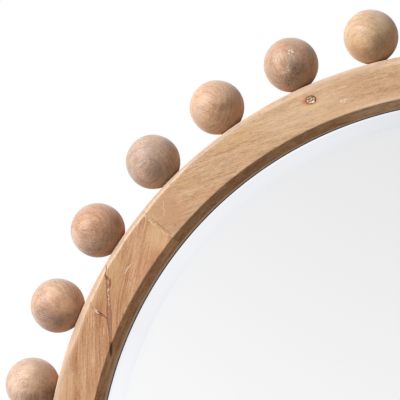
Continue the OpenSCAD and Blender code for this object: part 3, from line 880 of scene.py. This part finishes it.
def ballFinish(number):
    angle = ballAngle(number)
    dice = np.random.default_rng(200 + number)
    own = {"turn": tuple(dice.uniform(-90, 90, 3)), "greyShare": dice.uniform(0.15, 0.6)}
    tint = dice.uniform(-8, 8)
    own["middle"] = tuple(c + tint for c in ballBase["middle"])
    own["smudgesAndPaintedLight"] = [((dice.uniform(-16, 16), dice.uniform(-16, 16)), dice.uniform(4, 11),
                       ballBase["dust"], dice.uniform(0.3, 0.65)) for _ in range(2)]
    look = dict(ballBase, **dict(own, **ballLooks.get(number, {})))
    centre = (balls["centre"] * math.cos(angle), -balls["middle"], balls["centre"] * math.sin(angle))
    look["centre"], look["shift"] = centre, 3.7 * number
    material, tree, shader = blankFinish(f"ballWood{number:02d}", **ballGloss)
    place = benchPlace(tree)
    colour, height, fibres, grain = woodColour(tree, place, look)
    noise = noisesOf(tree, grain, ballNoises, look["shift"])
    fuzz = noise["fuzz"]
    greyed = times(tree, stretch(tree, noise["weather"], 0.42, 0.66), stretch(tree, fuzz, 0.30, 0.62))
    colour = layLook(tree, colour, greyed, look, "grey")
    local = vectorSum(tree, "SUBTRACT", place, centre)
    acrossBall, intoBall, upBall = splitAxes(tree, local)
    # Smudges of dust and tone; on the balls in view many are painted highlight, sheen and shade.
    for (dx, dz), size, tone, strength in look["smudgesAndPaintedLight"]:
        deep = -math.sqrt(max(balls["radius"] ** 2 - dx ** 2 - dz ** 2, 0))
        off = vectorSum(tree, "DISTANCE", local, (dx, deep, dz), out="Value")
        off = nudge(tree, off, noise["weather"], size * 1.6)
        inside = fadeOut(tree, off, size * 0.35, size * 1.15)
        shown = times(tree, inside, stretch(tree, fuzz, 0.28, 0.60, 0.35, 1.0))
        colour = layOn(tree, colour, times(tree, shown, strength), tone)
    for (dx, dz), wide, tall, lean, tone, level in look.get("flecks", ()):
        spot = {"at": (dx, dz), "size": (wide, tall), "turn": lean}
        near = fadeOut(tree, spotMark(tree, acrossBall, upBall, spot), 0.4, 1.1)
        near = times(tree, near, stretch(tree, intoBall, -4.0, -10.0))
        near = times(tree, near, stretch(tree, noise["specks"], level, level + 0.07))
        colour = layOn(tree, colour, near, tone)
    outward = (math.cos(angle), 0.0, math.sin(angle))
    depth = vectorSum(tree, "DOT_PRODUCT", local, outward, out="Value")
    turned = grainNoise(tree, joinAxes(tree, depth, 0.0, 0.0), (0.55, 1.0, 1.0), number * 1.9, detail=2.0)
    colour = layLook(tree, colour, stretch(tree, turned, 0.45, 0.75), look, "lathe")
    # Warmer and darker where the ball turns towards the ring: painted shade, warmed as by light bounced
    # off the ring.
    seatShade = stretch(tree, depth, *look["seatShadeFrom"])
    colour = mixColours(tree, seatShade, colour, look["seatShadeTone"] + (1.0,), "MULTIPLY")
    height = timesPlus(tree, turned, 0.5, height)
    finishWood(tree, shader, look, colour, height, fibres)
    return material


def turnedBall(number, material):
    angle = ballAngle(number)
    outward = np.array([math.cos(angle), 0, math.sin(angle)])
    sideways = np.array([-math.sin(angle), 0, math.cos(angle)])
    forward = np.array([0, -1.0, 0])
    size, centre = balls["radius"], balls["centre"]
    seat = ring["radius"] + balls["seatGap"]
    around = np.linspace(0, 2 * math.pi, balls["around"], endpoint=False)
    low, high = np.full(around.shape, math.pi / 2), np.full(around.shape, math.pi)
    for _ in range(40):  # where the ball meets the ring, found for each way round
        middle = (low + high) / 2
        reach = np.hypot(centre + size * np.cos(middle), size * np.sin(middle) * np.cos(around))
        low, high = np.where(reach > seat, middle, low), np.where(reach > seat, high, middle)
    edge = (low + high) / 2
    rows = []
    for t in np.linspace(0, 1, balls["rings"])[1:]:
        lean = edge * t
        wide = size * np.sin(lean)
        rows.append((size * np.cos(lean), wide * np.cos(around), wide * np.sin(around)))
    rim = size * np.sin(edge)
    for t in (0.33, 0.66, 1.0):
        wide = rim * (1 - t) + balls["dowel"] * t
        side, fore = wide * np.cos(around), wide * np.sin(around)
        rows.append((np.sqrt(seat ** 2 - side ** 2) - centre, side, fore))
    deep = ring["radius"] + balls["dowelDepth"] - centre
    side, fore = balls["dowel"] * np.cos(around), balls["dowel"] * np.sin(around)
    rows.append((np.full(around.shape, deep), side, fore))
    local = np.stack([np.stack(row, -1) for row in rows])
    flat = local.reshape(-1, 3)
    skin = np.zeros(len(rows))  # the seat and the rows next to it stay true
    skin[:balls["rings"] - 4] = 1
    lift = ripple(flat, 30, 300 + number).reshape(local.shape[:2])
    tool = ripple(local[..., :1].reshape(-1, 1), 2.2, 400 + number).reshape(local.shape[:2])
    cut = balls["outOfRound"] * (0.5 + 0.5 * lift) + balls["toolMarks"] * (0.5 + 0.5 * tool)
    local = local * (1 - (cut * skin[:, None])[..., None] / size)
    top, bottom = [[size - balls["poleCut"], 0, 0]], [[deep, 0, 0]]
    local = np.concatenate([top, local.reshape(-1, 3), bottom])
    middle = outward * centre + forward * balls["middle"]
    points = middle + local[:, :1] * outward + local[:, 1:2] * sideways + local[:, 2:] * forward
    faces = poleFaces(len(rows), balls["around"])
    addPiece(f"ball_{number:02d}_turned", points, faces, [material],
             [f"ball_{number:02d}"], crisp=45)


for number in range(1, ballCount + 1):
    turnedBall(number, ballFinish(number))
print("balls turned")


# The glass

glass = {
    "radius": 368.3, "thick": 5.0, "front": 28.83, "around": 360, "rings": (120.0, 240.0),
    "bevelStart": 342.9, "bevelWide": 25.4, "bevelDrop": 2.2,
    "arrisStart": 356.8, "arrisTilt": 9.8, "darkStart": 358.5, "rimFall": 0.2, "rimCut": 0.4,
    "flatTints": ((0.962, 0.963, 0.964), (0.950, 0.954, 0.977)), "flatFade": (332.0, 343.0),
    "bevelTints": ((0.905, 0.909, 0.930), (0.915, 0.930, 0.965)), "bevelFade": (343.0, 350.0),
}


def mirrorFinish(name, rough, tints, fade):  # silver behind glass, a little bluer towards the rim
    material, tree, shader = blankFinish(name, Metallic=1.0)
    place = benchPlace(tree)
    across, _, up = splitAxes(tree, place)
    outward = lengthOf(tree, joinAxes(tree, across, 0.0, up))
    tint = mixColours(tree, stretch(tree, outward, *fade), tints[0] + (1.0,), tints[1] + (1.0,))
    smears = grainNoise(tree, place, (60.0, 60.0, 90.0), 3.0, detail=4.0, rough=0.6)
    shine = stretch(tree, smears, 0.35, 0.75, rough, rough + 0.035)
    swell = grainNoise(tree, place, 160.0, 8.0, detail=1.0)
    finishSurface(tree, shader, tint, shine, swell, 0.02, 0.6)
    return material


def plainFinish(name, colour, rough, size, spread, relief=0.03, **values):  # a coat with a little mottle
    material, tree, shader = blankFinish(name, **values)
    place = benchPlace(tree)
    mottle = grainNoise(tree, place, size, 2.0, detail=4.0, rough=0.6)
    darker = tuple(max(c - spread, 0) for c in colour)
    paler = tuple(min(c + spread, 255) for c in colour)
    shade = toneRamp(tree, mottle, [(0.3, darker), (0.7, paler)])
    shine = stretch(tree, mottle, 0.3, 0.7, rough, min(rough + 0.12, 1.0))
    finishSurface(tree, shader, shade, shine, mottle, relief)
    return material


def makeGlass():
    face = mirrorFinish("silveredGlass", 0.02, glass["flatTints"], glass["flatFade"])
    bevel = mirrorFinish("silveredBevel", 0.03, glass["bevelTints"], glass["bevelFade"])
    dark = plainFinish("shadowedRim", (50, 42, 34), 0.6, 6.0, 8)
    edge = plainFinish("groundEdge", (176, 200, 190), 0.35, 3.0, 8, Specular_IOR_Level=0.6)
    coat = plainFinish("mirrorBackPaint", (112, 122, 124), 0.5, 12.0, 6)
    front = glass["front"]
    fall = glass["bevelDrop"] / glass["bevelWide"]
    steep = math.tan(math.radians(glass["arrisTilt"]))
    arris = front - (glass["arrisStart"] - glass["bevelStart"]) * fall
    rim = arris - (glass["darkStart"] - glass["arrisStart"]) * steep
    low = rim - (glass["radius"] - glass["darkStart"]) * fall * glass["rimFall"]
    back = front - glass["thick"]
    (inner, outer), radius, cut = glass["rings"], glass["radius"], glass["rimCut"]
    finishes = [face, bevel, dark, edge, coat]
    # Each station has its radius, its height and which finish the band up to it takes
    stations = [(inner, front, 0), (outer, front, 0), (glass["bevelStart"], front, 0)]
    stations += [(glass["arrisStart"], arris, 1), (glass["darkStart"], rim, 1), (radius - cut, low, 2)]
    stations += [(radius, low - cut, 3), (radius, back, 3), (outer, back, 4)]
    around = np.linspace(0, 2 * math.pi, glass["around"], endpoint=False)
    rows = [np.stack([r * np.cos(around), np.full(around.shape, -h), r * np.sin(around)], -1)
            for r, h, _ in stations]
    points = np.concatenate([[[0, -front, 0]], *rows, [[0, -back, 0]]])
    faces = poleFaces(len(rows), glass["around"])
    kinds = [kind for _, _, kind in stations[1:] for _ in around] + [0, 4] * len(around)
    addPiece("mirror_glass_bevelled", points, faces, finishes, ["mirror_glass"],
             crisp=2, faceKinds=kinds)


makeGlass()
print("glass made")


# The finishes of the parts that are shown as the CAD has them

def dress(material, slot, *names):
    for name in names:
        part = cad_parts[name]
        if not part.material_slots:
            part.data.materials.append(material)
        for place in part.material_slots:
            place.material = material


def boardFinish():
    material, tree, shader = blankFinish("hardboard", Specular_IOR_Level=0.3)
    place = benchPlace(tree)
    pulp = grainNoise(tree, place, 1.1, 2.0, detail=4.0, rough=0.75)
    fibres = grainNoise(tree, place, (5.0, 3.0, 0.6), 7.0, detail=3.0, rough=0.7)
    clouds = grainNoise(tree, place, 70.0, 12.0, detail=3.0)
    tone = timesPlus(tree, fibres, 0.45, times(tree, pulp, 0.55))
    colour = toneRamp(tree, tone, [(0.30, (128, 92, 62)), (0.5, (158, 120, 84)), (0.70, (184, 148, 110))])
    stain = stretch(tree, clouds, 0.45, 0.75, 0.0, 0.35)
    colour = layOn(tree, colour, stain, (132, 98, 68))
    finishSurface(tree, shader, colour, stretch(tree, tone, 0.3, 0.7, 0.6, 0.8), tone, 0.12)
    return material


metalDulling = 30.8  # how much darker the dull spots are, of 255


def metalFinish(name, colour, rough, brushed):
    material, tree, shader = blankFinish(name, Metallic=1.0)
    place = benchPlace(tree)
    lines = grainNoise(tree, place, (8.0, 8.0, 0.4), 3.0, detail=3.0, rough=0.6)
    spots = grainNoise(tree, place, 4.0, 9.0, detail=4.0, rough=0.7)
    dull = tuple(max(c - metalDulling, 0) for c in colour)
    shade = toneRamp(tree, spots, [(0.34, dull), (0.52, colour), (0.8, colour)])
    level = timesPlus(tree, lines, brushed, times(tree, spots, 0.2))
    shine = stretch(tree, level, 0.1, 0.6, rough, rough + 0.22)
    finishSurface(tree, shader, shade, shine, lines, 0.03)
    return material


dowelLook = dict(
    woodBase, light=(232, 204, 162), middle=(216, 186, 142), dark=(196, 160, 116), poreShare=0.2,
    turn=(0, 0, 0), shift=151.0, ringGap=2.4, pith=(0.0, 20.0),
)


def dowelFinish():
    material, tree, shader = blankFinish("beechDowel")
    colour, height, fibres, _ = woodColour(tree, benchPlace(tree), dowelLook)
    finishWood(tree, shader, dowelLook, colour, height, fibres)
    return material


foam = plainFinish("cushionFoam", (206, 202, 192), 0.85, 1.5, 10, 0.2)
rubber = plainFinish("padRubber", (44, 42, 40), 0.62, 1.6, 6, 0.06, Specular_IOR_Level=0.35)
brass = metalFinish("brassScrew", (204, 172, 100), 0.22, 0.3)
zinc = metalFinish("zincStrap", (190, 190, 188), 0.30, 0.6)
nickel = metalFinish("nickelWire", (202, 199, 192), 0.18, 0.4)
dress(boardFinish(), "backing_fibreboard", "backing_board")
dress(dowelFinish(), "dowel_wood", "segment_dowels", "ball_dowels")
dress(foam, "cushion_foam", "glass_cushion")
dress(brass, "screw_brass", "board_screws", "hanger_screws")
dress(zinc, "strap_steel", "left_strap", "right_strap")
dress(nickel, "wire_steel", "left_hanging_ring", "right_hanging_ring")
dress(rubber, "pad_rubber", "wall_pads")
print("back and hardware finished")


# Studio

studio = {
    "camera": (0.3454, -5.0061, 0.4388), "aim": (-0.2609, -0.046, 0.2669), "lens": 487.6, "sensor": 36.0,
    "clip": (0.1, 100),
    "keyFrom": (-0.70, -0.48, 0.54), "keyShare": 1.31, "keyTint": (0.975, 1.0, 1.04),
    "rearFrom": (-0.60, 0.66, 0.46), "rearShare": 0.12, "rearTint": (1.0, 1.0, 1.0),
    "lampFar": 4.5, "lampWide": 2.6,
    "white": ((-0.33, 0.915), (-0.305, 0.925), (-0.28, 0.955), (-0.26, 0.955), (-0.24, 0.943),
              (-0.19, 0.907), (-0.137, 0.832), (-0.11, 0.797), (-0.084, 0.773), (-0.05, 0.76)),
    "lowGlow": (0.01, -0.075, 0.0, 0.16), "highGlow": (0.10, 0.15, 0.0, 0.035),
    "farGlow": (0.31, 0.36, 0.0, 0.012), "farGlowEnd": (0.5, 0.7, 1.0, 0.0),
    "ambient": (0.308, 0.288, 0.270), "ambientLean": (0.185, 0.20, 0.21),
    "floorAt": -0.468, "floorRadius": 3.8, "floorBounce": 0.25, "floorSteps": 96,
    "floorTones": ((0.3, (234, 234, 232)), (0.7, (238, 238, 236))), "floorFade": (0.35, 0.98),
    "floorRings": (0.35, 0.7, 1.0),
}


def aimObject(name, data, spot, heading):
    holder = newObject(name, data)
    holder.location = spot
    holder.rotation_mode = "QUATERNION"
    holder.rotation_quaternion = heading.to_track_quat("-Z", "Y")
    return holder


def placeCamera():
    lens = bpy.data.cameras.new("camera")
    lens.lens, lens.sensor_width = studio["lens"], studio["sensor"]
    lens.clip_start, lens.clip_end = studio["clip"]
    spot = Vector(studio["camera"])
    bpy.context.scene.camera = aimObject("camera", lens, spot, Vector(studio["aim"]) - spot)


def placeLamp(side):  # its share is how bright it makes white paper
    lamp = bpy.data.lights.new(side + "Lamp", "AREA")
    far = studio["lampFar"]
    lamp.color = studio[side + "Tint"]
    lamp.size = studio["lampWide"]
    lamp.energy = math.pi ** 2 * far ** 2 * studio[side + "Share"]
    heading = Vector(studio[side + "From"]).normalized()
    aimObject(side + "Lamp", lamp, heading * far, -heading)


def makeWorld():
    world = bpy.data.worlds.new("studioWhite")
    bpy.context.scene.world = world
    world.use_nodes = True
    tree = world.node_tree
    ground = tree.nodes["Background"]
    way = addNode(tree, "TexCoord", out="Generated")
    side, _, up = splitAxes(tree, way)
    level = curveOf(tree, side, studio["white"], 0.7, 1.0)
    level = plus(tree, level, stretch(tree, up, *studio["lowGlow"], smooth=False))
    level = plus(tree, level, stretch(tree, up, *studio["highGlow"]))
    off = lengthOf(tree, joinAxes(tree, side, 0.0, up))
    glow = times(tree, stretch(tree, off, *studio["farGlow"]), stretch(tree, off, *studio["farGlowEnd"]))
    level = plus(tree, level, glow)
    seen = addNode(tree, "CombineColor", {0: level, 1: level, 2: level})
    path = tree.nodes.new("ShaderNodeLightPath")
    mirrored = sums(tree, "MAXIMUM", path.outputs["Is Glossy Ray"], path.outputs["Is Transmission Ray"])
    direct = sums(tree, "LESS_THAN", path.outputs["Diffuse Depth"], 0.5)
    mirrored = times(tree, mirrored, direct)
    towardsKey = vectorSum(tree, "DOT_PRODUCT", way, Vector(studio["keyFrom"]).normalized(), out="Value")
    lean = scaledBy(tree, studio["ambientLean"], towardsKey)
    ambient = vectorSum(tree, "ADD", lean, studio["ambient"])
    colour = mixColours(tree, mirrored, ambient, seen)
    colour = mixColours(tree, path.outputs["Is Camera Ray"], colour, (1.0, 1.0, 1.0, 1.0))
    plug(tree, ground.inputs["Color"], colour)


def makeFloor():
    radius, steps = studio["floorRadius"], studio["floorSteps"]
    near, end = studio["floorFade"]
    around = np.linspace(0, 2 * math.pi, steps, endpoint=False)
    rings = [np.stack([r * np.cos(around), r * np.sin(around), np.full(steps, studio["floorAt"])], -1)
             for r in radius * np.array(studio["floorRings"])]
    points = np.concatenate([[[0, 0, studio["floorAt"]]], *rings])
    faces = [[1 + corner for corner in face[::-1]] for face in gridFaces(len(rings), steps)]
    faces += [[0, 1 + k, 1 + (k + 1) % steps] for k in range(steps)]
    mesh = bpy.data.meshes.new("floor")
    mesh.from_pydata(points.tolist(), [], faces)
    floor = newObject("floor", mesh)
    material, tree, shader = blankFinish("paleFloor", Roughness=0.9, Specular_IOR_Level=0.1)
    place = addNode(tree, "TexCoord", out="Object")
    mottle = grainNoise(tree, place, 0.02, 1.0, detail=3.0)
    colour = toneRamp(tree, mottle, studio["floorTones"])
    plug(tree, shader.inputs["Base Color"], colour)
    far = lengthOf(tree, place)
    fade = fadeOut(tree, far, radius * near, radius * end)
    below = addNode(tree, "NewGeometry", out="Backfacing")
    solid = times(tree, fade, minus(tree, 1.0, below))
    bounce = addNode(tree, "LightPath", out="Diffuse Depth")
    solid = times(tree, solid, stretch(tree, bounce, 0.0, 1.0, 1.0, studio["floorBounce"]))
    plug(tree, shader.inputs["Alpha"], solid)
    mesh.materials.append(material)


placeCamera()
placeLamp("key")
placeLamp("rear")
makeWorld()
makeFloor()
bpy.context.scene.view_settings.view_transform = "Standard"
print("studio ready")
